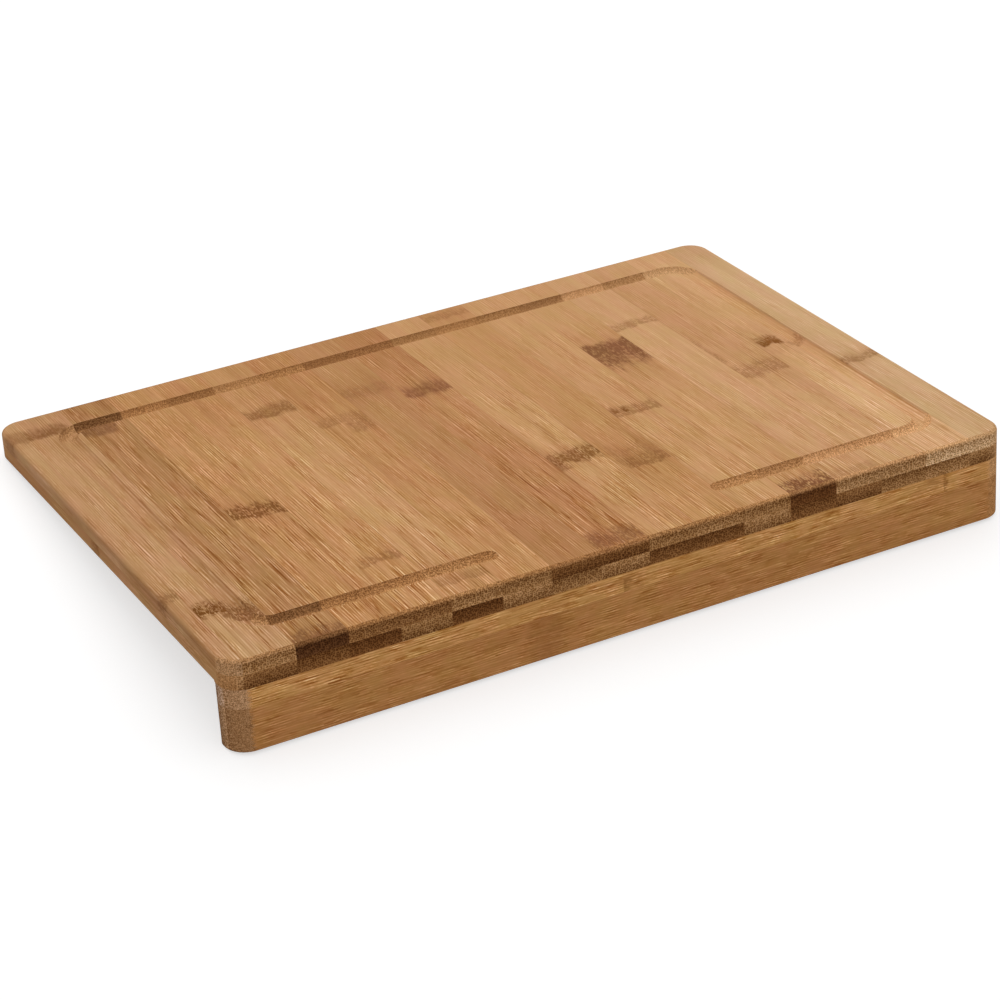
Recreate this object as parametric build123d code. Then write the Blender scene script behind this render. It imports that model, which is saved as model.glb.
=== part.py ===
from build123d import *
import os

# A bamboo cutting board with a lip that hooks over the front edge of a worktop.
# The origin is the corner that takes that edge, where the board's underside meets the lip's back face,
# midway along the board. +X runs to the right, +Y to the back and +Z up. All sizes are in millimetres.

# Board: two plies of staves glued face to face
board_depth = 280.0
ply_count = 2
ply_thickness = 7.0
corner_radius = 11.0
top_edge_round = 2.0
under_edge_round = 1.2

# Staves: bamboo strips that run front to back, with the same seams in both plies.
# The glued panel is trimmed to its length, so a narrower stave is left at each end.
full_staves = 15
stave_width = 24.75
left_stave_width = 8.0
right_stave_width = 20.75

# Juice groove: a cove round the top, left open at the front, a little to the left of the middle
groove_width = 9.4
groove_depth = 2.6
groove_inset = 25.0
groove_corner_radius = 12.0
groove_front_gap = 111.0
groove_gap_offset = 1.7

# Lip: the same two plies, each of an upper and a lower strip that run left to right
lip_drop = 31.0
lip_upper_strip_height = 9.5
lip_under_round = 1.0
lip_back_round = 1.0

# Lip joint: the back ply stands up as a tongue in a stopped groove under the board
tongue_height = 4.0
tongue_end_stop = 24.0
glue_gap = 0.1

# How far a cutting block runs past what it cuts
overrun = 5.0

# Sizes and places that follow from those above
board_length = left_stave_width + full_staves * stave_width + right_stave_width
board_thickness = ply_count * ply_thickness
lip_thickness = ply_count * ply_thickness
left_x = -board_length / 2
right_x = board_length / 2
front_y = -lip_thickness
back_y = front_y + board_depth
ply_line_y = -ply_thickness
tongue_groove_width = ply_thickness + glue_gap


def block(low, high):
    """A box from its low corner to its high corner."""
    size = Vector(*high) - Vector(*low)
    return Pos(*low) * Box(size.X, size.Y, size.Z, align=(Align.MIN, Align.MIN, Align.MIN))


def plan_outline():
    """The board seen from above, which the lip's front corners follow too."""
    return Pos(0, (front_y + back_y) / 2) * RectangleRounded(board_length, board_depth, corner_radius)


def groove_cutter():
    """The round-nosed cutter's path: a tube along the groove, with a ball at each end."""
    nose_radius = (groove_width**2 / 4 + groove_depth**2) / (2 * groove_depth)
    nose_z = board_thickness - groove_depth + nose_radius
    side_x = right_x - groove_inset
    near_y = front_y + groove_inset
    far_y = back_y - groove_inset
    reach_x = (groove_front_gap + groove_width) / 2
    path = FilletPolyline(
        (-reach_x - groove_gap_offset, near_y, nose_z),
        (-side_x, near_y, nose_z),
        (-side_x, far_y, nose_z),
        (side_x, far_y, nose_z),
        (side_x, near_y, nose_z),
        (reach_x - groove_gap_offset, near_y, nose_z),
        radius=groove_corner_radius,
    )
    tube = sweep(Plane(origin=path @ 0, z_dir=path % 0) * Circle(nose_radius), path=path)
    return [tube, Pos(path @ 0) * Sphere(nose_radius), Pos(path @ 1) * Sphere(nose_radius)]


def top_panel():
    """The upper ply before it is told apart into staves: rounded top edge and juice groove."""
    panel = Pos(0, 0, ply_thickness) * extrude(plan_outline(), ply_thickness)
    panel = fillet(panel.edges().group_by(Axis.Z)[-1], top_edge_round)
    return panel - groove_cutter()


def tongue_groove():
    """The stopped groove for the lip's tongue, with round ends as a router leaves them."""
    length = board_length - 2 * tongue_end_stop
    slot = Pos(0, -tongue_groove_width / 2) * SlotOverall(length, tongue_groove_width)
    return Pos(0, 0, -overrun) * extrude(slot, overrun + tongue_height + glue_gap)


def under_panel():
    """The lower ply before it is told apart: its under edge is rounded except above the lip."""
    panel = extrude(plan_outline(), ply_thickness)
    above_lip = split(panel, bisect_by=Plane.XZ, keep=Keep.TOP)
    behind_lip = split(panel, bisect_by=Plane.XZ, keep=Keep.BOTTOM)
    under_edges = behind_lip.edges().group_by(Axis.Z)[0].sort_by(Axis.Y)[1:]
    return above_lip + fillet(under_edges, under_edge_round) - tongue_groove()


def stave_bounds():
    """Where each stave starts and ends, from the left."""
    seams = [left_x + left_stave_width + number * stave_width for number in range(full_staves + 1)]
    return zip([left_x - overrun, *seams], [*seams, right_x + overrun])


def staves(panel, name):
    """The panel told apart at its seams, numbered from the left."""
    low_y, high_y = front_y - overrun, back_y + overrun
    low_z, high_z = -overrun, board_thickness + overrun
    return {
        f"{name}_{number:02d}": panel & block((low_x, low_y, low_z), (high_x, high_y, high_z))
        for number, (low_x, high_x) in enumerate(stave_bounds(), start=1)
    }


def lip_blank():
    """The whole lip: flush with the board's front and ends, its edges eased, its tongue on top."""
    band = plan_outline() & Pos(0, front_y / 2) * Rectangle(board_length + overrun, lip_thickness)
    end_flat = lip_thickness - corner_radius
    band = fillet(band.vertices().group_by(Axis.Y)[-1], min(lip_back_round, end_flat / 2))
    lip = Pos(0, 0, -lip_drop) * extrude(band, lip_drop)
    lip = fillet(lip.edges().group_by(Axis.Z)[0], lip_under_round)
    tongue_end_x = right_x - tongue_end_stop - tongue_groove_width / 2
    return lip + block((-tongue_end_x, ply_line_y, -overrun), (tongue_end_x, 0, tongue_height))


def lip_strips():
    """The lip told apart at its ply line and at the seam between its upper and lower strips."""
    lip = lip_blank()
    low_x, high_x = left_x - overrun, right_x + overrun
    plies = {"front": (front_y - overrun, ply_line_y), "back": (ply_line_y, overrun)}
    rows = {
        "upper": (-lip_upper_strip_height, tongue_height + overrun),
        "lower": (-lip_drop - overrun, -lip_upper_strip_height),
    }
    return {
        f"lip_{ply}_{row}_strip": lip & block((low_x, low_y, low_z), (high_x, high_y, high_z))
        for ply, (low_y, high_y) in plies.items()
        for row, (low_z, high_z) in rows.items()
    }


pieces = staves(top_panel(), "top_stave") | staves(under_panel(), "under_stave") | lip_strips()
os.makedirs("parts", exist_ok=True)
for node, piece in pieces.items():
    piece.label = node
    export_step(piece, f"parts/{node}.step")
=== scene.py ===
"""Dresses a bamboo cutting board with a worktop lip, and sets its floor, light and camera.

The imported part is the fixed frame. Every piece of it is a bamboo strip whose shape is already right, so each
strip keeps its shape and gets a bamboo finish of its own: fibres that run with the strip, the dotted section
that shows where they are cut across, the dark marks of the cane's nodes and the glue lines beside it.
Lengths in the finishes are in millimetres, and everything else is in metres.
"""

import logging
import math
from abc import ABC, abstractmethod
from dataclasses import dataclass
from enum import Enum
from typing import ClassVar, Optional, Union

import bpy
from mathutils import Matrix, Vector


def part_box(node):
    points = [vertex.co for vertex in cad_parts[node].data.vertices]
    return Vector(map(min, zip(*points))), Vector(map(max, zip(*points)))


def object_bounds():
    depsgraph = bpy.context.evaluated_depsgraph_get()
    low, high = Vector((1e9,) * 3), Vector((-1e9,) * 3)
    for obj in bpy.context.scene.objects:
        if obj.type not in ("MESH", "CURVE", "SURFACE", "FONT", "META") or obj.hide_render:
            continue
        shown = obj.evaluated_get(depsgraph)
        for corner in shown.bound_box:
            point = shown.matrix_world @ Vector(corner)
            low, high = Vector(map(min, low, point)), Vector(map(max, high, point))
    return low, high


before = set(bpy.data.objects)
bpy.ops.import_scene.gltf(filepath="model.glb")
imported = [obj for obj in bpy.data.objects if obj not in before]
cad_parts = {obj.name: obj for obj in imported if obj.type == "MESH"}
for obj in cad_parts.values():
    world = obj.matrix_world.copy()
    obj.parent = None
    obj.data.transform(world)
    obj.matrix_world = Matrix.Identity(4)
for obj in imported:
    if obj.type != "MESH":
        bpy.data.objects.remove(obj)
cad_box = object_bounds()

LOG = logging.getLogger("cutting_board")
MM = 0.001
MM_PER_METRE = 1000.0

FULL_LEVEL = 255
SRGB_TOE = 0.04045
SRGB_TOE_SLOPE = 12.92
SRGB_OFFSET = 0.055
SRGB_POWER = 2.4

Socket = bpy.types.NodeSocket
Colour = tuple[float, float, float, float]
Size = tuple[float, float, float]
Input = Union[float, tuple, Vector, Colour, Socket]

WHITE: Colour = (1.0, 1.0, 1.0, 1.0)


def paint(red: int, green: int, blue: int) -> Colour:
    """Turns a colour as a screen shows it into the linear values that a shader takes.

    Args:
        red: Red from 0 to 255.
        green: Green from 0 to 255.
        blue: Blue from 0 to 255.

    Returns:
        The linear colour, with full alpha.
    """

    def linear(level: int) -> float:
        """Turns one channel by the sRGB curve.

        Args:
            level: The channel from 0 to 255.

        Returns:
            Its linear value.
        """
        share = level / FULL_LEVEL
        if share <= SRGB_TOE:
            return share / SRGB_TOE_SLOPE
        return ((share + SRGB_OFFSET) / (1 + SRGB_OFFSET)) ** SRGB_POWER

    return linear(red), linear(green), linear(blue), 1.0


class FaceTone(Enum):
    """What colour a strip is where it is cut along its fibres."""

    CREAM = paint(224, 177, 130)
    IVORY = paint(214, 172, 128)
    PALE_STRAW = paint(214, 165, 119)
    STRAW = paint(207, 157, 108)
    HONEY = paint(204, 152, 102)
    SAND = paint(206, 160, 116)
    TAN = paint(200, 148, 98)
    CLAY = paint(197, 143, 96)
    RUSSET = paint(191, 139, 92)
    CHESTNUT = paint(186, 137, 90)
    LIP_HONEY = paint(222, 164, 101)
    LIP_AMBER = paint(203, 144, 86)


class EndTone(Enum):
    """What colour a strip is where it is cut across its fibres."""

    PALE = paint(206, 162, 115)
    ASH = paint(173, 138, 110)
    DUN = paint(160, 120, 84)
    ROSE = paint(172, 129, 89)
    LIGHT = paint(172, 126, 80)
    WARM = paint(164, 117, 71)
    MEDIUM = paint(154, 108, 63)
    BROWN = paint(139, 93, 51)
    DARK = paint(127, 82, 42)
    UMBER = paint(114, 70, 33)
    DEEP = paint(91, 54, 26)


class MarkTone(Enum):
    """How the cane's nodes stain a strip, as what they leave of its red, green and blue."""

    BROWN = (0.38, 0.25, 0.09, 1.0)
    PURPLE = (0.42, 0.31, 0.27, 1.0)
    RED_BROWN = (0.50, 0.39, 0.34, 1.0)


class SkinSide(Enum):
    """Which side of a strip was next to the cane's skin, where the bundles are dense."""

    LOW = 0
    HIGH = 1


class GrainRun(Enum):
    """Which way a strip's fibres run, as the turn that brings them onto the pattern's second axis."""

    FRONT_TO_BACK = (0.0, 0.0, 0.0)
    LEFT_TO_RIGHT = (math.pi / 2, 0.0, math.pi / 2)


class RimSide(Enum):
    """Which side of a node's mark has the dark rim, as a sign along the strip."""

    FRONT = 1.0
    BACK = -1.0


@dataclass(frozen=True)
class NodeMark:
    """The mark that one node of the cane leaves across a strip.

    Attributes:
        place: Where its middle is along the strip, on the part's own axis.
        length: How far it reaches along the strip.
        strength: How dark it is, from 0 to 1.
        flush: How strong the reddish cloud round it is, from 0 to 1.
        rim: How dark its rim is, from 0 to 1.
        grit: How far it breaks up into blots and strokes, from 0 to 1.
        side: Where the rim lies.
        slant: How far its right side lies ahead of its left side, along the strip.
        left_share: Where it starts across the strip, as a share of the strip's width.
        right_share: Where it ends across the strip, as a share of the strip's width.
    """

    place: float
    length: float
    strength: float
    flush: float = 0.2
    rim: float = 0.4
    grit: float = 0.8
    side: RimSide = RimSide.FRONT
    slant: float = 0.0
    left_share: float = 0.0
    right_share: float = 1.0


@dataclass(frozen=True)
class StripFinish:
    """The bamboo of one strip.

    Attributes:
        face: Its colour along the fibres.
        end: Its colour across the fibres.
        marks: The nodes that show on it.
        mark_tone: The colour of those marks.
        streak: How strongly its fibres show at its front or left end, from 0 to 1.
        fade: How much of that is left at its other end.
        bare_and_shade: How much of its end colour shows where its fibres are cut at a slant, from 0 to 1, at
            its
        front or left end and at the other. In the juice groove that darkening is partly painted shade.
        run: How far its fibres can be followed, as a share of what is usual.
        skin: Its denser side.
    """

    face: FaceTone
    end: EndTone
    marks: tuple[NodeMark, ...] = ()
    mark_tone: MarkTone = MarkTone.BROWN
    streak: float = 0.6
    fade: float = 0.5
    bare_and_shade: tuple[float, float] = (0.5, 0.5)
    run: float = 1.0
    skin: SkinSide = SkinSide.HIGH


class NodeBench:
    """A node tree that is being wired, with a short method for each kind of node."""

    noise_middle = 0.5

    def __init__(self, tree: bpy.types.NodeTree) -> None:
        """Takes the tree to work on.

        Args:
            tree: The tree.
        """
        self.tree = tree

    def feed(self, socket: Socket, value: Input) -> None:
        """Links a socket to another, or sets its value.

        Args:
            socket: The input to feed.
            value: The output that feeds it, or its constant.
        """
        if isinstance(value, Socket):
            self.tree.links.new(value, socket)
        else:
            socket.default_value = value

    def node(
        self, kind: str, inputs: Optional[dict[Union[str, int], Input]] = None, **settings: object
    ) -> bpy.types.Node:
        """Adds a node.

        Args:
            kind: Blender's name for the kind of node.
            inputs: What feeds its inputs, by name or number.
            settings: Its properties.

        Returns:
            The new node.
        """
        made = self.tree.nodes.new(kind)
        for name, value in settings.items():
            setattr(made, name, value)
        for key, value in (inputs or {}).items():
            self.feed(made.inputs[key], value)
        return made

    def math(self, operation: str, first: Input, second: Input = 0.0) -> Socket:
        """Adds a sum of one or two numbers.

        Args:
            operation: Blender's name for the sum.
            first: The first number.
            second: The second number, where the sum has one.

        Returns:
            The result.
        """
        return self.node("ShaderNodeMath", {0: first, 1: second}, operation=operation).outputs[0]

    def vector_math(self, operation: str, first: Input, second: Input) -> Socket:
        """Adds a sum of two vectors.

        Args:
            operation: Blender's name for the sum.
            first: The first vector.
            second: The second vector.

        Returns:
            The result as a vector.
        """
        return self.node("ShaderNodeVectorMath", {0: first, 1: second}, operation=operation).outputs[0]

    def ease(self, value: Input, start: Input, stop: Input, low: Input = 0.0, high: Input = 1.0) -> Socket:
        """Adds a smooth step from one level to another.

        Args:
            value: The number that runs.
            start: Where the step starts.
            stop: Where the step stops.
            low: The level before it.
            high: The level after it.

        Returns:
            The level.
        """
        inputs = {"Value": value, "From Min": start, "From Max": stop, "To Min": low, "To Max": high}
        return self.node("ShaderNodeMapRange", inputs, interpolation_type="SMOOTHSTEP").outputs[0]

    def share(self, value: Input, start: Input, stop: Input) -> Socket:
        """Adds how far a number has come from one place to another.

        Args:
            value: The number that runs.
            start: Where the share is 0.
            stop: Where the share is 1.

        Returns:
            The share, from 0 to 1.
        """
        inputs = {"Value": value, "From Min": start, "From Max": stop}
        return self.node("ShaderNodeMapRange", inputs).outputs[0]

    def spread(self, value: Input, low: float, high: float) -> Socket:
        """Adds a straight map from 0 to 1 onto two levels.

        Args:
            value: The number that runs from 0 to 1.
            low: The level at 0.
            high: The level at 1.

        Returns:
            The level.
        """
        return self.node("ShaderNodeMapRange", {"Value": value, "To Min": low, "To Max": high}).outputs[0]

    def mix(self, share: Input, first: Input, second: Input, blend: str = "MIX") -> Socket:
        """Adds a mix of two colours.

        Args:
            share: How much of the second colour there is.
            first: The first colour.
            second: The second colour.
            blend: Blender's name for the way they mix.

        Returns:
            The mixed colour.
        """
        inputs = {"Factor": share, 6: first, 7: second}
        return self.node("ShaderNodeMix", inputs, data_type="RGBA", blend_type=blend).outputs[2]

    def tint(self, colour: Input, level: Input, first: Colour, second: Colour, share: Input = 1.0) -> Socket:
        """Adds a tint that runs from one multiplier to another.

        Args:
            colour: The colour to tint.
            level: Where the tint stands, from 0 to 1.
            first: The multiplier at 0.
            second: The multiplier at 1.
            share: How much of the tint there is.

        Returns:
            The tinted colour.
        """
        return self.mix(share, colour, self.mix(level, first, second), "MULTIPLY")

    def split(self, vector: Input) -> dict[str, Socket]:
        """Takes a vector apart.

        Args:
            vector: The vector.

        Returns:
            Its X, Y and Z by name.
        """
        return {socket.name: socket for socket in self.node("ShaderNodeSeparateXYZ", {0: vector}).outputs}

    def noise(self, place: Input, grain: Size, detail: float = 2.0) -> Socket:
        """Adds a cloud whose blots have a given size each way.

        Args:
            place: Where the surface is.
            grain: The size of a blot along each axis.
            detail: How many finer clouds are laid over the first.

        Returns:
            The cloud's level, about 0.5 in the middle.
        """
        scaled = self.vector_math("DIVIDE", place, grain)
        return self.node("ShaderNodeTexNoise", {"Vector": scaled, "Scale": 1.0, "Detail": detail}).outputs[0]

    def swing(self, place: Input, grain: Size, detail: float = 2.0) -> Socket:
        """Adds a cloud whose level runs to either side of 0.

        Args:
            place: Where the surface is.
            grain: The size of a blot along each axis.
            detail: How many finer clouds are laid over the first.

        Returns:
            The cloud's level.
        """
        return self.math("SUBTRACT", self.noise(place, grain, detail), self.noise_middle)


class SharedEffect(ABC):
    """A shader node group that is built once and placed in each finish with its own values."""

    name: str
    inputs: dict[str, str]
    outputs: dict[str, str]

    def tree(self) -> bpy.types.NodeTree:
        """Builds the group, or finds it if it is built.

        Returns:
            The group's node tree.
        """
        found = bpy.data.node_groups.get(self.name)
        if found:
            return found
        made = bpy.data.node_groups.new(self.name, "ShaderNodeTree")
        for way, sockets in (("INPUT", self.inputs), ("OUTPUT", self.outputs)):
            for name, kind in sockets.items():
                made.interface.new_socket(name=name, in_out=way, socket_type=f"NodeSocket{kind}")
        bench = NodeBench(made)
        given = {socket.name: socket for socket in bench.node("NodeGroupInput").outputs if socket.name}
        out = bench.node("NodeGroupOutput")
        for name, socket in self.wire(bench, given).items():
            bench.feed(out.inputs[name], socket)
        return made

    @abstractmethod
    def wire(self, bench: NodeBench, given: dict[str, Socket]) -> dict[str, Socket]:
        """Wires the group.

        Args:
            bench: The group's own tree.
            given: The group's inputs by name.

        Returns:
            What feeds each output, by name.
        """

    def put(self, bench: NodeBench, values: dict[str, Input]) -> dict[str, Socket]:
        """Places the group in a finish.

        Args:
            bench: The finish's tree.
            values: What feeds its inputs, by name.

        Returns:
            Its outputs by name.
        """
        placed = bench.node("ShaderNodeGroup", node_tree=self.tree())
        for name, value in values.items():
            bench.feed(placed.inputs[name], value)
        return {socket.name: socket for socket in placed.outputs}


class FibreGrain(SharedEffect):
    """Bamboo's fibres as they lie in the strip: one pattern gives lines on a face and dots on a section."""

    name = "bamboo_fibre_grain"
    inputs = {
        "Place": "Vector",
        "Normal": "Vector",
        "Seed": "Float",
        "Inner": "Float",
        "Skin": "Float",
        "Bare_And_Shade": "Float",
    }
    line_names = ("Fibre", "Bundles", "Comb", "Dark Line", "Light Line", "Strand")
    tone_names = ("Streaks", "Band", "Cloud", "Speck", "Sheaf", "Dense")
    cut_names = ("Cut", "Steep_And_Shade", "Square")
    outputs = dict.fromkeys(line_names + tone_names + cut_names, "Float")

    seed_shift = (17.3, 231.7, 9.1)
    bundle_pitch = 0.95
    bundle_randomness = 0.7
    bundle_reach = (0.54, 0.72)
    bundle_core = (0.0, 0.14)
    comb_pitch = 1.2
    comb_drift = 2.4
    comb_drift_size = (6.0, 90.0, 6.0)
    line_size = (0.5, 20.0, 0.5)
    dark_edges = (0.3, 0.08)
    light_edges = (0.74, 0.95)
    fibre_size = (0.6, 16.0, 0.6)
    fibre_share = 0.6
    pore_size = (0.5, 5.0, 0.5)
    pore_share = 0.4
    speck_size = (0.55, 0.55, 0.55)
    fine_edges = (0.34, 0.66)
    sheaf_size = (6.0, 24.0, 6.0)
    sheaf_edges = (0.34, 0.64)
    streak_size = (2.1, 95.0, 2.6)
    band_size = (5.0, 190.0, 6.0)
    cloud_size = (10.0, 26.0, 10.0)
    broad_edges = (0.3, 0.7)
    fringe_levels = (0.6, 1.4)
    cut_edges = (0.0, 0.2)
    # Sets how fast the end colour, and with it the painted shade in the juice groove, grows with a cut's
    # slope.
    head_on_power = 4.0
    square_edges = (0.2, 1.0)
    square_levels = (0.25, 1.0)

    def wire(self, bench: NodeBench, given: dict[str, Socket]) -> dict[str, Socket]:
        """Wires the fibres, the bundles, the broad bands and the masks of the cut ends.

        Args:
            bench: The group's own tree.
            given: Place, with its second axis along the fibres, Normal on the same axes, Seed, where the
            strip's inner side and its skin side lie on the third axis, and how far a slanting cut
            shows the end's colour, which in the juice groove is partly painted shade.

        Returns:
            The levels of each pattern.
        """
        shift = bench.vector_math("MULTIPLY", given["Seed"], self.seed_shift)
        place = bench.vector_math("ADD", given["Place"], shift)
        axes = bench.split(place)
        section = bench.node("ShaderNodeCombineXYZ", {"X": axes["X"], "Y": axes["Z"]}).outputs[0]
        bundle_cells = bench.vector_math("DIVIDE", section, (self.bundle_pitch,) * 3)
        inputs = {"Vector": bundle_cells, "Scale": 1.0, "Randomness": self.bundle_randomness}
        bundles = bench.node("ShaderNodeTexVoronoi", inputs, voronoi_dimensions="2D").outputs
        line_cells = bench.vector_math("DIVIDE", place, self.line_size)
        lines = bench.node("ShaderNodeTexVoronoi", {"Vector": line_cells, "Scale": 1.0}).outputs
        line = bench.split(lines["Color"])["X"]
        dense = bench.share(bench.split(given["Place"])["Z"], given["Inner"], given["Skin"])
        reach = bench.spread(dense, *self.bundle_reach)
        core = bench.spread(dense, *self.bundle_core)
        fibre = bench.math("MULTIPLY", bench.noise(place, self.fibre_size), self.fibre_share)
        pores = bench.math("MULTIPLY", bench.noise(place, self.pore_size, detail=1.0), self.pore_share)
        fibre = bench.ease(bench.math("ADD", fibre, pores), *self.fine_edges)
        drift = bench.swing(place, self.comb_drift_size, detail=1.0)
        comb = bench.math("ADD", axes["X"], bench.math("MULTIPLY", drift, self.comb_drift))
        comb = bench.math("SINE", bench.math("MULTIPLY", comb, math.tau / self.comb_pitch))
        slope = bench.math("ABSOLUTE", bench.split(given["Normal"])["Y"])
        fringe = bench.math("MULTIPLY", slope, bench.spread(fibre, *self.fringe_levels))
        cut = bench.ease(fringe, *self.cut_edges)
        # The end colour grows with how steeply a cut crosses the fibres and never falls below the strip's bare
        # level: real end grain, and in the juice groove also painted shade, darkest under its far rim.
        head_on = bench.math("POWER", slope, self.head_on_power)
        steep_and_shade = bench.math("MAXIMUM", head_on, given["Bare_And_Shade"])
        return {
            "Fibre": fibre,
            "Bundles": bench.ease(bundles["Distance"], reach, core),
            "Comb": bench.ease(comb, -1.0, 1.0),
            "Dark Line": bench.ease(line, *self.dark_edges),
            "Light Line": bench.ease(line, *self.light_edges),
            "Strand": bench.split(bundles["Color"])["X"],
            "Streaks": bench.ease(bench.noise(place, self.streak_size), *self.broad_edges),
            "Band": bench.ease(bench.noise(place, self.band_size), *self.broad_edges),
            "Cloud": bench.ease(bench.noise(place, self.cloud_size), *self.broad_edges),
            "Speck": bench.ease(bench.noise(place, self.speck_size, detail=1.0), *self.fine_edges),
            "Sheaf": bench.ease(bench.noise(place, self.sheaf_size), *self.sheaf_edges),
            "Dense": dense,
            "Cut": cut,
            "Steep_And_Shade": bench.math("MULTIPLY", cut, steep_and_shade),
            "Square": bench.ease(head_on, *self.square_edges, *self.square_levels),
        }


class NodeRing(SharedEffect):
    """The mark of one node of the cane: a soft patch of blots and strokes with a rim, in a reddish cloud."""

    name = "bamboo_node_ring"
    measure_names = ("At", "Half", "Slope", "Left", "Right", "Rim", "Grit", "Seed")
    inputs = {"Place": "Vector", **dict.fromkeys(measure_names, "Float")}
    outputs = {"Mark": "Float", "Flush": "Float"}

    seed_shift = (5.7, 41.3, 3.1)
    tear_size = (0.9, 20.0, 0.9)
    tear_levels = (0.5, 1.8)
    patch_size = (7.0, 9.0, 7.0)
    patch_reach = 1.5
    blot_size = (3.0, 4.0, 3.0)
    blot_edges = (0.32, 0.68)
    blot_levels = (-0.45, 0.45)
    stroke_size = (0.65, 2.4, 0.65)
    stroke_edges = (0.34, 0.66)
    stroke_levels = (-0.75, 0.75)
    side_edge = 3.0
    side_reach = 7.0
    foot_edges = (-1.25, -0.5)
    head_edges = (1.35, 0.1)
    body_levels = (0.0, 0.8)
    rim_place = 0.75
    rim_edges = (0.55, 0.0)
    flush_edges = (3.4, 0.3)

    def wire(self, bench: NodeBench, given: dict[str, Socket]) -> dict[str, Socket]:
        """Wires the patch, which fades away from its rim, then its blots and the cloud round it.

        Args:
            bench: The group's own tree.
            given: Place, the mark's place and half length on its axes, the latter below 0 where the rim
                lies at the back, its slope, its left and right side, how dark the rim is, how far the
                mark breaks up and Seed.

        Returns:
            The levels of the mark and of the cloud.
        """
        shift = bench.vector_math("MULTIPLY", given["Seed"], self.seed_shift)
        place = bench.vector_math("ADD", given["Place"], shift)
        axes = bench.split(given["Place"])
        middle = bench.math("MULTIPLY", bench.math("ADD", given["Left"], given["Right"]), 0.5)
        lean = bench.math("MULTIPLY", bench.math("SUBTRACT", axes["X"], middle), given["Slope"])
        ahead = bench.math("SUBTRACT", bench.math("SUBTRACT", axes["Y"], given["At"]), lean)
        ahead = bench.math("DIVIDE", ahead, given["Half"])
        patch = bench.swing(place, self.patch_size)
        tear = bench.swing(place, self.tear_size, detail=3.0)
        tear = bench.math("MULTIPLY", tear, bench.ease(ahead, -1.0, 1.0, *self.tear_levels))
        ragged = bench.math("ADD", ahead, bench.math("MULTIPLY", patch, self.patch_reach))
        ragged = bench.math("ADD", ragged, tear)
        foot = bench.ease(ragged, *self.foot_edges)
        body = bench.math("MULTIPLY", foot, bench.ease(ragged, *self.head_edges, *self.body_levels))
        rim = bench.ease(bench.math("ABSOLUTE", bench.math("ADD", ragged, self.rim_place)), *self.rim_edges)
        shape = bench.math("ADD", body, bench.math("MULTIPLY", rim, given["Rim"]))
        blot = bench.ease(bench.noise(place, self.blot_size), *self.blot_edges, *self.blot_levels)
        stroke = bench.noise(place, self.stroke_size, detail=1.0)
        stroke = bench.ease(stroke, *self.stroke_edges, *self.stroke_levels)
        broken = bench.math("MULTIPLY", bench.math("ADD", blot, stroke), given["Grit"])
        broken = bench.math("MAXIMUM", bench.math("ADD", broken, 1.0), 0.0)
        mark = bench.math("MULTIPLY", shape, broken)
        aside = bench.math("MULTIPLY", patch, self.side_reach)
        left = bench.math("ADD", bench.math("SUBTRACT", axes["X"], given["Left"]), aside)
        right = bench.math("ADD", bench.math("SUBTRACT", given["Right"], axes["X"]), aside)
        left = bench.ease(left, -self.side_edge, 0.0)
        across = bench.math("MULTIPLY", left, bench.ease(right, -self.side_edge, 0.0))
        away = bench.ease(bench.math("ABSOLUTE", ragged), *self.flush_edges)
        return {
            "Mark": bench.math("MULTIPLY", bench.math("MINIMUM", mark, 1.0), across),
            "Flush": bench.math("MULTIPLY", away, across),
        }


class GlueLine(SharedEffect):
    """The fine dark line where a strip meets the next one."""

    name = "bamboo_glue_line"
    inputs = {"Place": "Float", "Low": "Float", "High": "Float"}
    outputs = {"Line": "Float"}

    width = 0.28

    def wire(self, bench: NodeBench, given: dict[str, Socket]) -> dict[str, Socket]:
        """Wires the line from how near each edge is.

        Args:
            bench: The group's own tree.
            given: Place on one axis, and the strip's low and high edges on it.

        Returns:
            The line's level.
        """
        from_low = bench.math("SUBTRACT", given["Place"], given["Low"])
        from_high = bench.math("SUBTRACT", given["High"], given["Place"])
        nearest = bench.math("MINIMUM", from_low, from_high)
        return {"Line": bench.ease(nearest, self.width, 0.0)}


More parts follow.
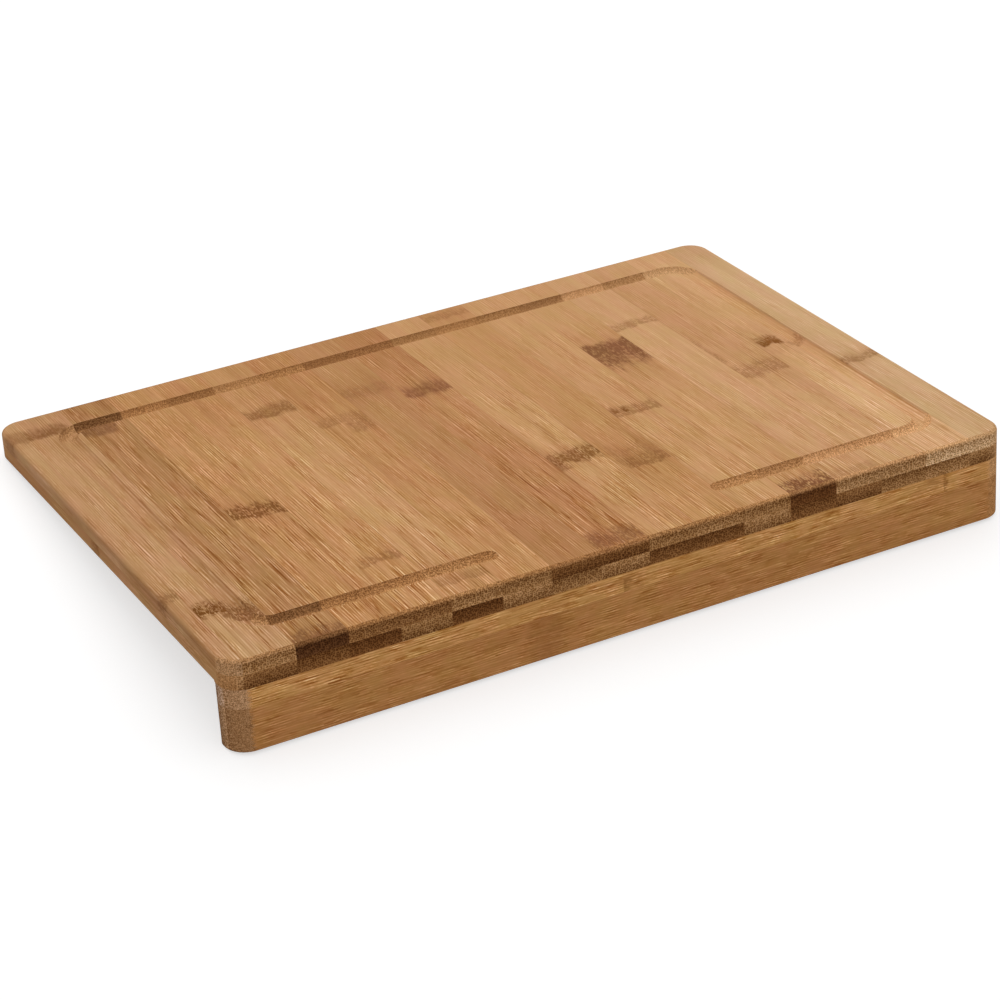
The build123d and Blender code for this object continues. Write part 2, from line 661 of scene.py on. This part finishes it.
class BambooSurface(SharedEffect):
    """Brings the patterns of a strip together into its colour, its roughness and its relief."""

    name = "bamboo_surface"
    inputs = {
        "Face Tone": "Color",
        "End Tone": "Color",
        "Mark Tone": "Color",
        "Streak": "Float",
        **FibreGrain.outputs,
        **NodeRing.outputs,
        **GlueLine.outputs,
    }
    outputs = {"Color": "Color", "Roughness": "Float", "Height": "Float"}

    yellow_wash = (1.04, 1.06, 1.04, 1.0)
    red_wash = (0.97, 0.94, 0.92, 1.0)
    olive_wash = (0.97, 1.00, 0.93, 1.0)
    pink_wash = (1.03, 1.00, 1.05, 1.0)
    flush_wash = (0.87, 0.80, 0.74, 1.0)
    streak_dark = (0.93, 0.91, 0.89, 1.0)
    streak_light = (1.07, 1.08, 1.09, 1.0)
    fibre_dark = (0.84, 0.73, 0.55, 1.0)
    fibre_light = (1.16, 1.24, 1.36, 1.0)
    comb_dark = (0.66, 0.46, 0.20, 1.0)
    comb_light = (1.34, 1.50, 1.71, 1.0)
    thread_dark = (0.51, 0.31, 0.07, 1.0)
    thread_light = (1.36, 1.55, 1.88, 1.0)
    section_dark = (0.42, 0.29, 0.12, 1.0)
    section_light = (1.52, 1.65, 1.88, 1.0)
    strand_dark = (0.76, 0.69, 0.57, 1.0)
    strand_light = (1.23, 1.30, 1.43, 1.0)
    speck_dark = (0.45, 0.36, 0.24, 1.0)
    speck_light = (1.53, 1.54, 1.53, 1.0)
    inner_wash = (1.16, 1.18, 1.20, 1.0)
    skin_wash = (0.82, 0.78, 0.72, 1.0)
    bevel_wash = (1.03, 0.99, 0.93, 1.0)
    line_dark = (0.55, 0.48, 0.42, 1.0)

    sheaf_levels = (0.3, 1.0)
    marked_levels = (1.0, 0.4)
    comb_levels = (0.3, 1.0)
    section_stain = 0.45
    oblique_gain = 1.3
    oblique_levels = (1.0, 0.2)
    firm_levels = (0.78, 1.08)
    face_roughness = (0.72, 0.62)
    cut_roughness = (0.0, 0.15)
    fibre_relief = (0.0, 0.4)
    pit_relief = (0.0, 0.6)

    def wire(self, bench: NodeBench, given: dict[str, Socket]) -> dict[str, Socket]:
        """Wires the colour of the face and of the section, then the glue lines over both.

        Args:
            bench: The group's own tree.
            given: The strip's tones and the levels of its patterns.

        Returns:
            The colour, roughness and relief.
        """
        streak = given["Streak"]
        face = bench.tint(given["Face Tone"], given["Band"], self.yellow_wash, self.red_wash)
        face = bench.tint(face, given["Cloud"], self.olive_wash, self.pink_wash)
        face = bench.mix(given["Flush"], face, self.flush_wash, "MULTIPLY")
        face = bench.mix(given["Mark"], face, given["Mark Tone"], "MULTIPLY")
        face = bench.tint(face, given["Streaks"], self.streak_dark, self.streak_light, streak)
        share = bench.math("MULTIPLY", streak, bench.spread(given["Sheaf"], *self.sheaf_levels))
        share = bench.math("MULTIPLY", share, bench.spread(given["Mark"], *self.marked_levels))
        bold = bench.math("MULTIPLY", share, streak)
        face = bench.tint(face, given["Fibre"], self.fibre_dark, self.fibre_light, share)
        uneven = bench.math("MULTIPLY", share, bench.spread(given["Fibre"], *self.comb_levels))
        face = bench.tint(face, given["Comb"], self.comb_dark, self.comb_light, uneven)
        dark = bench.math("MULTIPLY", bold, given["Dark Line"])
        light = bench.math("MULTIPLY", bold, given["Light Line"])
        face = bench.mix(dark, face, self.thread_dark, "MULTIPLY")
        face = bench.mix(light, face, self.thread_light, "MULTIPLY")
        bevel = bench.mix(1.0, given["Face Tone"], self.bevel_wash, "MULTIPLY")
        # The end colour's share over slanted cuts is end grain, and in the juice groove partly painted shade.
        section = bench.mix(given["Steep_And_Shade"], bevel, given["End Tone"])
        stain = bench.math("MULTIPLY", given["Mark"], self.section_stain)
        section = bench.mix(stain, section, given["Mark Tone"], "MULTIPLY")
        square = given["Square"]
        oblique = bench.math("MINIMUM", bench.math("MULTIPLY", streak, self.oblique_gain), 1.0)
        oblique = bench.math("MULTIPLY", oblique, bench.spread(square, *self.oblique_levels))
        firm = bench.math("MULTIPLY", square, bench.spread(streak, *self.firm_levels))
        section = bench.tint(section, given["Bundles"], self.section_light, self.section_dark, firm)
        section = bench.tint(section, given["Strand"], self.strand_dark, self.strand_light, firm)
        section = bench.tint(section, given["Speck"], self.speck_dark, self.speck_light, oblique)
        section = bench.tint(section, given["Dense"], self.inner_wash, self.skin_wash, square)
        colour = bench.mix(given["Cut"], face, section)
        colour = bench.mix(given["Line"], colour, self.line_dark, "MULTIPLY")
        rough = bench.spread(given["Fibre"], *self.face_roughness)
        rough = bench.math("ADD", rough, bench.spread(given["Cut"], *self.cut_roughness))
        pits = bench.math("MULTIPLY", given["Bundles"], given["Cut"])
        relief = bench.spread(given["Fibre"], *self.fibre_relief)
        relief = bench.math("SUBTRACT", relief, bench.spread(pits, *self.pit_relief))
        return {"Color": colour, "Roughness": rough, "Height": relief}


FIBRE_GRAIN = FibreGrain()
NODE_RING = NodeRing()
GLUE_LINE = GlueLine()
BAMBOO_SURFACE = BambooSurface()


@dataclass
class BambooStrip:
    """One strip of the board or of its lip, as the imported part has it.

    Attributes:
        node: The strip's name.
        grain: Which way its fibres run.
        finish: Its bamboo.
        seed: A number of its own, which sets its pattern apart from the others.
        joined_low: Whether another strip lies against its low side.
        joined_high: Whether another strip lies against its high side.
    """

    node: str
    grain: GrainRun
    finish: StripFinish
    seed: float
    joined_low: bool = True
    joined_high: bool = True

    relief: ClassVar[float] = 0.12 * MM
    relief_strength: ClassVar[float] = 0.25
    shine: ClassVar[float] = 0.06
    glue_share: ClassVar[float] = 0.25
    no_edge: ClassVar[float] = 1000.0

    def limits(self) -> tuple[Vector, Vector]:
        """Finds how far the strip reaches, with the second axis along its fibres.

        Returns:
            Its lowest and its highest corner, in millimetres.
        """
        low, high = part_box(self.node)
        if self.grain is GrainRun.LEFT_TO_RIGHT:
            low, high = low.zxy, high.zxy
        return low * MM_PER_METRE, high * MM_PER_METRE

    def wire_marks(self, bench: NodeBench, place: Socket) -> tuple[Input, Input]:
        """Wires the strip's node marks, the strongest one showing where two meet.

        Args:
            bench: The material's tree.
            place: Where the surface is, on the strip's axes.

        Returns:
            The levels of the marks and of the cloud round them.
        """
        low, high = self.limits()
        width = high.x - low.x
        mark: Input = 0.0
        flush: Input = 0.0
        for number, one in enumerate(self.finish.marks):
            left = low.x + width * one.left_share
            right = low.x + width * one.right_share
            values = {
                "Place": place,
                "At": one.place,
                "Half": one.length / 2 * one.side.value,
                "Slope": one.slant / (right - left),
                "Left": left,
                "Right": right,
                "Rim": one.rim,
                "Grit": one.grit,
                "Seed": self.seed + number,
            }
            found = NODE_RING.put(bench, values)
            mark = bench.math("MAXIMUM", mark, bench.math("MULTIPLY", found["Mark"], one.strength))
            flush = bench.math("MAXIMUM", flush, bench.math("MULTIPLY", found["Flush"], one.flush))
        return mark, flush

    def dress(self) -> None:
        """Gives the strip its bamboo."""
        material = bpy.data.materials.new(f"bamboo_{self.node}")
        material.use_nodes = True
        bench = NodeBench(material.node_tree)
        bench.tree.nodes.clear()
        source = bench.node("ShaderNodeTexCoord").outputs
        turned = {"Vector": source["Object"], "Rotation": self.grain.value, "Scale": (MM_PER_METRE,) * 3}
        place = bench.node("ShaderNodeMapping", turned).outputs[0]
        turned = {"Vector": source["Normal"], "Rotation": self.grain.value}
        facing = bench.node("ShaderNodeMapping", turned, vector_type="NORMAL").outputs[0]
        low, high = self.limits()
        inner, skin = (low.z, high.z) if self.finish.skin is SkinSide.HIGH else (high.z, low.z)
        along = bench.share(bench.split(place)["Y"], low.y, high.y)
        grain = FIBRE_GRAIN.put(
            bench,
            {
                "Place": bench.vector_math("DIVIDE", place, (1.0, self.finish.run, 1.0)),
                "Normal": facing,
                "Seed": self.seed,
                "Inner": inner,
                "Skin": skin,
                "Bare_And_Shade": bench.spread(along, *self.finish.bare_and_shade),
            },
        )
        mark, flush = self.wire_marks(bench, place)
        edges = {
            "Place": bench.split(place)["X"],
            "Low": low.x if self.joined_low else -self.no_edge,
            "High": high.x if self.joined_high else self.no_edge,
        }
        line = bench.math("MULTIPLY", GLUE_LINE.put(bench, edges)["Line"], self.glue_share)
        surface = BAMBOO_SURFACE.put(
            bench,
            {
                "Face Tone": self.finish.face.value,
                "End Tone": self.finish.end.value,
                "Mark Tone": self.finish.mark_tone.value,
                "Streak": bench.spread(along, self.finish.streak, self.finish.streak * self.finish.fade),
                **grain,
                "Mark": mark,
                "Flush": flush,
                "Line": line,
            },
        )
        bump = bench.node(
            "ShaderNodeBump",
            {"Strength": self.relief_strength, "Distance": self.relief, "Height": surface["Height"]},
        )
        shader = bench.node(
            "ShaderNodeBsdfPrincipled",
            {
                "Base Color": surface["Color"],
                "Roughness": surface["Roughness"],
                "Specular IOR Level": self.shine,
                "Normal": bump.outputs[0],
            },
        )
        bench.node("ShaderNodeOutputMaterial", {"Surface": shader.outputs[0]})
        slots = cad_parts[self.node].data.materials
        slots.clear()
        slots.append(material)
        LOG.info("dressed %s", self.node)


def ring(place: float, length: float, strength: float, **more: Union[float, RimSide]) -> NodeMark:
    """Reads a node mark's place from the board's front edge.

    Args:
        place: Where its middle is, back from the front edge.
        length: How far it reaches.
        strength: How dark it is.
        more: Its other values by name.

    Returns:
        The mark, on the part's own axes.
    """
    front_edge = cad_box[0].y * MM_PER_METRE
    return NodeMark(front_edge + place, length, strength, **more)


def shade(place: float, length: float, flush: float) -> NodeMark:
    """Reads the place of a broad reddish zone without a mark in it from the board's front edge.

    Args:
        place: Where its middle is, back from the front edge.
        length: How far its full shade reaches.
        flush: How strong it is.

    Returns:
        The zone, on the part's own axes.
    """
    return ring(place, length, 0.0, flush=flush)


@dataclass
class Board:
    """The board: an upper and a lower ply of staves that run front to back.

    Attributes:
        upper: The bamboo of the upper staves, from the left.
        lower: The bamboo of the lower staves, from the left.
    """

    upper: tuple[StripFinish, ...]
    lower: tuple[StripFinish, ...]

    def strips(self) -> list[BambooStrip]:
        """Lists the board's staves.

        Returns:
            Every stave with its bamboo, the upper ply first.
        """
        found = []
        for ply, finishes in (("top_stave", self.upper), ("under_stave", self.lower)):
            last = len(finishes)
            for number, finish in enumerate(finishes, start=1):
                stave = BambooStrip(f"{ply}_{number:02d}", GrainRun.FRONT_TO_BACK, finish, len(found) + 1)
                stave.joined_low = number > 1
                stave.joined_high = number < last
                found.append(stave)
        return found

    def dress(self) -> None:
        """Gives every stave its bamboo."""
        for stave in self.strips():
            stave.dress()


@dataclass
class Lip:
    """The lip under the front edge: four strips that run left to right.

    Attributes:
        finishes: The bamboo of each strip by its name.
        first_seed: The seed of the first strip.
    """

    finishes: dict[str, StripFinish]
    first_seed: float = 101.0

    def strips(self) -> list[BambooStrip]:
        """Lists the lip's strips.

        Returns:
            Every strip with its bamboo.
        """
        found = []
        for number, (name, finish) in enumerate(self.finishes.items()):
            strip = BambooStrip(name, GrainRun.LEFT_TO_RIGHT, finish, self.first_seed + number)
            # The lower strips end in the lip's foot, where nothing is glued on.
            strip.joined_low = "upper" in name
            found.append(strip)
        return found

    def dress(self) -> None:
        """Gives every strip its bamboo."""
        for strip in self.strips():
            strip.dress()


@dataclass
class Studio:
    """A pale floor that the board stands on, soft light from above and a camera.

    Attributes:
        floor_reach: How far the floor runs from the board's middle.
        floor_tone: The floor's paleness.
        floor_glow: What the camera adds to the floor, so that it is white outside the shadow.
        sky_low: How bright the light from all round is at the horizon.
        sky_high: How bright it is overhead.
        lamp_power: The overhead lamp's power in watts.
        lamp_side: The overhead lamp's width.
        lamp_place: Where the overhead lamp hangs.
        azimuth: Where the camera stands round the board, in degrees.
        elevation: How high it stands, in degrees.
        roll: How far it is turned about its own line of sight, in degrees.
        distance: How far it stands from the point that it looks at.
        aim: The point that it looks at.
        lens: Its focal length in millimetres on a 36 mm sensor.
    """

    floor_reach: float = 6.0
    floor_tone: float = 0.55
    floor_glow: float = 0.6
    sky_low: float = 0.4
    sky_high: float = 0.92
    lamp_power: float = 3.0
    lamp_side: float = 1.2
    lamp_place: tuple[float, float, float] = (0.25, 0.65, 1.3)
    azimuth: float = -26.432
    elevation: float = 27.055
    roll: float = 3.618
    distance: float = 1.5241
    aim: tuple[float, float, float] = (-0.0007, 0.1187, -0.0219)
    lens: float = 113.92

    def floor(self) -> None:
        """Makes the floor that the lip's foot and the board's back edge stand on."""
        lip_low, lip_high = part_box("lip_back_lower_strip")
        stave_low, stave_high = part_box("under_stave_09")
        foot = Vector((0.0, lip_high.y, lip_low.z))
        heel = Vector((0.0, stave_high.y, stave_low.z))
        forth = (heel - foot).normalized() * self.floor_reach
        aside = Vector((self.floor_reach, 0.0, 0.0))
        middle = (foot + heel) / 2
        near, far = middle - forth, middle + forth
        corners = [near - aside, near + aside, far + aside, far - aside]
        mesh = bpy.data.meshes.new("floor")
        mesh.from_pydata(corners, [], [(0, 1, 2, 3)])
        mesh.materials.append(self.floor_finish())
        made = bpy.data.objects.new("floor", mesh)
        bpy.context.scene.collection.objects.link(made)

    def floor_finish(self) -> bpy.types.Material:
        """Makes the floor's finish: matt and pale, white to the camera, and clear from below.

        Returns:
            The material.
        """
        material = bpy.data.materials.new("pale_floor")
        material.use_nodes = True
        bench = NodeBench(material.node_tree)
        bench.tree.nodes.clear()
        tone = (self.floor_tone, self.floor_tone, self.floor_tone, 1.0)
        matt = bench.node("ShaderNodeBsdfDiffuse", {"Color": tone})
        seen = bench.node("ShaderNodeLightPath").outputs["Is Camera Ray"]
        glow = bench.node("ShaderNodeEmission", {"Strength": bench.math("MULTIPLY", seen, self.floor_glow)})
        lit = bench.node("ShaderNodeAddShader", {0: matt.outputs[0], 1: glow.outputs[0]})
        clear = bench.node("ShaderNodeBsdfTransparent")
        below = bench.node("ShaderNodeNewGeometry").outputs["Backfacing"]
        both = bench.node("ShaderNodeMixShader", {0: below, 1: lit.outputs[0], 2: clear.outputs[0]})
        bench.node("ShaderNodeOutputMaterial", {"Surface": both.outputs[0]})
        return material

    def sky(self) -> None:
        """Sets the light from all round, which the camera and reflections see as white."""
        world = bpy.data.worlds.new("white_sky")
        world.use_nodes = True
        bench = NodeBench(world.node_tree)
        bench.tree.nodes.clear()
        path = bench.node("ShaderNodeLightPath").outputs
        seen = bench.math("MAXIMUM", path["Is Camera Ray"], path["Is Glossy Ray"])
        seen = bench.math("MAXIMUM", seen, path["Is Transmission Ray"])
        up = bench.split(bench.node("ShaderNodeTexCoord").outputs["Generated"])["Z"]
        unseen = bench.math("SUBTRACT", 1.0, seen)
        soft = bench.math("MULTIPLY", unseen, bench.spread(up, self.sky_low, self.sky_high))
        level = bench.math("ADD", seen, soft)
        light = bench.node("ShaderNodeBackground", {"Color": WHITE, "Strength": level})
        bench.node("ShaderNodeOutputWorld", {"Surface": light.outputs[0]})
        bpy.context.scene.world = world

    def lamp(self) -> None:
        """Hangs the soft overhead lamp, turned to the board."""
        data = bpy.data.lights.new("overhead_lamp", "AREA")
        data.energy = self.lamp_power
        data.size = self.lamp_side
        made = bpy.data.objects.new("overhead_lamp", data)
        made.location = self.lamp_place
        made.rotation_euler = (Vector(self.aim) - made.location).to_track_quat("-Z", "Y").to_euler()
        bpy.context.scene.collection.objects.link(made)

    def camera(self) -> None:
        """Sets the camera up at the photograph's view."""
        turn, tilt, roll = (math.radians(angle) for angle in (self.azimuth, self.elevation, self.roll))
        back = Vector((math.sin(turn) * math.cos(tilt), -math.cos(turn) * math.cos(tilt), math.sin(tilt)))
        level = Vector((math.cos(turn), math.sin(turn), 0.0))
        right = level * math.cos(roll) - back.cross(level) * math.sin(roll)
        axes = Matrix((right, back.cross(right), back)).transposed().to_4x4()
        data = bpy.data.cameras.new("camera")
        data.lens = self.lens
        made = bpy.data.objects.new("camera", data)
        made.matrix_world = Matrix.Translation(Vector(self.aim) + back * self.distance) @ axes
        bpy.context.scene.collection.objects.link(made)
        bpy.context.scene.camera = made

    def build(self) -> None:
        """Sets up the floor, the light, the camera and the way the picture is shown."""
        self.floor()
        self.sky()
        self.lamp()
        self.camera()
        bpy.context.scene.view_settings.view_transform = "Standard"
        LOG.info("set the floor, the light and the camera")


# From the left, as the photograph shows them
UPPER_STAVES = (
    StripFinish(
        FaceTone.SAND,
        EndTone.ROSE,
        (
            ring(70, 12, 0.5, flush=1.0),
            ring(260, 14, 0.5, flush=1.0, rim=0.2, grit=0.3),
            shade(65, 50, 1.0),
            shade(160, 90, 0.7),
        ),
        streak=0.7,
    ),
    StripFinish(
        FaceTone.SAND,
        EndTone.WARM,
        (
            ring(51, 13, 1.0, flush=1.0, grit=1.0, right_share=0.5),
            ring(44, 20, 0.8, flush=0.6, grit=1.0, slant=-8, left_share=0.45),
            ring(260, 12, 0.75, flush=1.0, grit=0.3, right_share=0.8),
            shade(62, 24, 0.7),
            shade(160, 100, 0.7),
            shade(258, 40, 1.0),
        ),
        streak=0.9,
        bare_and_shade=(0.55, 0.6),
    ),
    StripFinish(
        FaceTone.CHESTNUT,
        EndTone.DEEP,
        (
            ring(249, 18, 0.75, flush=0.5, rim=0.0, grit=0.3, right_share=0.62),
            ring(5, 12, 0.65, flush=0.3, grit=1.0),
            shade(274, 16, 0.7),
        ),
        MarkTone.PURPLE,
        streak=1.0,
        fade=0.75,
        bare_and_shade=(0.58, 0.68),
    ),
    StripFinish(
        FaceTone.TAN,
        EndTone.BROWN,
        (ring(125, 14, 0.85, flush=0.4, rim=0.6, grit=1.0, slant=-4), shade(30, 50, 0.3)),
        streak=1.0,
        fade=0.57,
        bare_and_shade=(0.52, 0.42),
    ),
    StripFinish(
        FaceTone.HONEY,
        EndTone.BROWN,
        (ring(51, 10, 0.45, grit=1.0, left_share=0.25), shade(247, 40, 0.9)),
        streak=0.95,
        bare_and_shade=(0.4, 0.72),
    ),
    StripFinish(
        FaceTone.STRAW,
        EndTone.WARM,
        (
            ring(218, 13, 0.65, rim=0.2, grit=0.5),
            ring(15, 8, 0.35, grit=0.5),
            shade(10, 30, 0.7),
            shade(250, 60, 0.8),
        ),
        streak=0.9,
        fade=0.42,
    ),
    StripFinish(
        FaceTone.HONEY,
        EndTone.MEDIUM,
        (
            ring(190, 12, 0.35, rim=0.2),
            ring(181, 22, 0.45, rim=0.0, grit=0.6, left_share=0.55),
            shade(45, 30, 0.4),
            shade(150, 60, 0.4),
            shade(250, 60, 1.0),
        ),
        streak=0.75,
        fade=0.7,
    ),
    StripFinish(
        FaceTone.RUSSET,
        EndTone.DARK,
        (ring(212, 15, 0.25, flush=0.7, rim=0.0), shade(20, 50, 0.3)),
        MarkTone.RED_BROWN,
        streak=0.7,
        bare_and_shade=(0.5, 0.67),
        skin=SkinSide.LOW,
    ),
    StripFinish(
        FaceTone.CLAY,
        EndTone.DARK,
        (
            ring(197, 18, 0.9, flush=0.4, rim=0.0, grit=0.3, left_share=0.12),
            ring(10, 17, 0.8, rim=0.1, grit=0.7),
            shade(75, 60, 0.65),
            shade(255, 60, 0.8),
        ),
        MarkTone.RED_BROWN,
        streak=1.0,
        fade=0.45,
        bare_and_shade=(0.5, 0.67),
        skin=SkinSide.LOW,
    ),
    StripFinish(
        FaceTone.STRAW,
        EndTone.MEDIUM,
        (
            ring(91, 15, 0.85, flush=0.4, rim=0.3, grit=0.65),
            ring(83, 8, 0.6, right_share=0.2),
            shade(20, 40, 0.3),
            shade(225, 60, 0.3),
        ),
        streak=0.97,
        fade=0.26,
        bare_and_shade=(0.5, 0.7),
    ),
    StripFinish(
        FaceTone.TAN,
        EndTone.WARM,
        (
            ring(69, 12, 0.55, flush=0.5, grit=1.0, left_share=0.2),
            ring(76, 24, 0.3, flush=0.6, rim=0.0, grit=0.7, left_share=0.1),
            ring(271, 9, 0.3, flush=0.5, rim=0.0),
        ),
        streak=0.78,
        fade=0.22,
        bare_and_shade=(0.5, 0.58),
    ),
    StripFinish(
        FaceTone.STRAW,
        EndTone.MEDIUM,
        (
            ring(119, 10, 0.5, rim=0.6),
            ring(121, 8, 1.0, grit=0.3, left_share=0.08, right_share=0.14),
            ring(121, 8, 1.0, grit=0.3, left_share=0.28, right_share=0.33),
        ),
        streak=0.68,
        bare_and_shade=(0.22, 0.7),
    ),
    StripFinish(
        FaceTone.STRAW,
        EndTone.UMBER,
        (
            ring(177, 31, 0.92, flush=0.8, rim=0.4, grit=0.55, side=RimSide.BACK),
            ring(5, 16, 1.0, flush=0.4, rim=0.6, grit=1.0),
        ),
        MarkTone.PURPLE,
        streak=0.63,
        fade=0.46,
        bare_and_shade=(0.32, 0.57),
    ),
    StripFinish(
        FaceTone.PALE_STRAW,
        EndTone.LIGHT,
        (ring(206, 9, 0.45), ring(5, 8, 0.3), shade(10, 20, 0.35), shade(250, 50, 0.3)),
        streak=0.6,
        fade=0.4,
        bare_and_shade=(0.0, 0.18),
    ),
    StripFinish(
        FaceTone.PALE_STRAW,
        EndTone.LIGHT,
        (
            ring(124, 18, 0.42, rim=0.3),
            ring(156, 38, 0.4, rim=0.0, right_share=0.03),
            shade(190, 90, 0.85),
        ),
        streak=0.67,
        fade=0.45,
        bare_and_shade=(0.1, 0.8),
    ),
    StripFinish(
        FaceTone.CREAM,
        EndTone.PALE,
        (
            ring(149, 12, 1.0, flush=0.7, rim=0.6, grit=0.4, left_share=0.12, right_share=0.46),
            ring(143, 9, 0.45, slant=6, left_share=0.6),
            ring(150, 40, 0.15, rim=0.0, grit=0.3, right_share=0.5),
            shade(150, 50, 1.0),
            shade(190, 80, 0.9),
            shade(272, 20, 0.8),
        ),
        streak=0.65,
        fade=0.45,
        bare_and_shade=(0.0, 0.8),
    ),
    StripFinish(
        FaceTone.IVORY,
        EndTone.PALE,
        (ring(106, 8, 0.5, flush=0.8), shade(272, 20, 0.6)),
        streak=0.5,
    ),
)

# From the left, of which the photograph shows the front ends and one side
LOWER_STAVES = (
    StripFinish(FaceTone.RUSSET, EndTone.LIGHT, (ring(150, 10, 0.5),), skin=SkinSide.LOW),
    StripFinish(FaceTone.HONEY, EndTone.BROWN, (ring(98, 11, 0.7),), skin=SkinSide.LOW),
    StripFinish(FaceTone.TAN, EndTone.DARK, (ring(205, 12, 0.8),)),
    StripFinish(FaceTone.RUSSET, EndTone.UMBER, (ring(64, 13, 0.7),), MarkTone.RED_BROWN),
    StripFinish(FaceTone.HONEY, EndTone.MEDIUM, (ring(172, 11, 0.6),), skin=SkinSide.LOW),
    StripFinish(FaceTone.TAN, EndTone.UMBER, (ring(238, 14, 0.9),), MarkTone.PURPLE),
    StripFinish(FaceTone.STRAW, EndTone.WARM, (ring(118, 10, 0.5),), skin=SkinSide.LOW),
    StripFinish(FaceTone.HONEY, EndTone.MEDIUM, (ring(45, 12, 0.7),)),
    StripFinish(FaceTone.TAN, EndTone.WARM, (ring(190, 12, 0.8),), skin=SkinSide.LOW),
    StripFinish(FaceTone.STRAW, EndTone.DARK, (ring(140, 9, 0.4),)),
    StripFinish(FaceTone.RUSSET, EndTone.DARK, (ring(82, 15, 0.8),), MarkTone.RED_BROWN),
    StripFinish(FaceTone.HONEY, EndTone.WARM, (ring(222, 11, 0.6),), skin=SkinSide.LOW),
    StripFinish(FaceTone.TAN, EndTone.DARK, (ring(155, 13, 0.7),)),
    StripFinish(FaceTone.STRAW, EndTone.BROWN, (ring(58, 10, 0.5),), skin=SkinSide.LOW),
    StripFinish(FaceTone.HONEY, EndTone.MEDIUM, (ring(201, 12, 0.8),)),
    StripFinish(FaceTone.STRAW, EndTone.WARM, (ring(110, 10, 0.6),)),
    StripFinish(FaceTone.PALE_STRAW, EndTone.MEDIUM, (ring(176, 9, 0.5),), skin=SkinSide.LOW),
)

# The front ones as the photograph shows them, the back ones to match
LIP_STRIPS = {
    "lip_front_upper_strip": StripFinish(
        FaceTone.LIP_HONEY,
        EndTone.ASH,
        (
            NodeMark(-5.5, 4.5, 0.55, grit=1.0, right_share=0.5),
            NodeMark(-2, 9, 0.25, grit=1.0, right_share=0.7),
            NodeMark(166, 3, 0.55, rim=0.6, grit=1.0),
            NodeMark(160, 9, 0.3, grit=1.0, left_share=0.5),
        ),
        streak=0.9,
        fade=1.0,
        bare_and_shade=(0.7, 0.4),
        run=0.4,
    ),
    "lip_front_lower_strip": StripFinish(
        FaceTone.LIP_AMBER,
        EndTone.DUN,
        (NodeMark(-47, 18, 0.3, rim=0.0, grit=0.3),),
        streak=0.7,
        fade=1.0,
        bare_and_shade=(0.8, 0.4),
        run=0.4,
    ),
    "lip_back_upper_strip": StripFinish(
        FaceTone.LIP_HONEY, EndTone.ASH, (NodeMark(74, 10, 0.5),), streak=0.3, fade=1.0, run=0.4
    ),
    "lip_back_lower_strip": StripFinish(
        FaceTone.LIP_AMBER, EndTone.DUN, (NodeMark(-118, 12, 0.5),), streak=0.3, fade=1.0, run=0.4
    ),
}


def main() -> None:
    """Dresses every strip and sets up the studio."""
    logging.basicConfig(level=logging.INFO, format="%(name)s: %(message)s")
    Board(UPPER_STAVES, LOWER_STAVES).dress()
    Lip(LIP_STRIPS).dress()
    Studio().build()


if __name__ == "__main__":
    main()
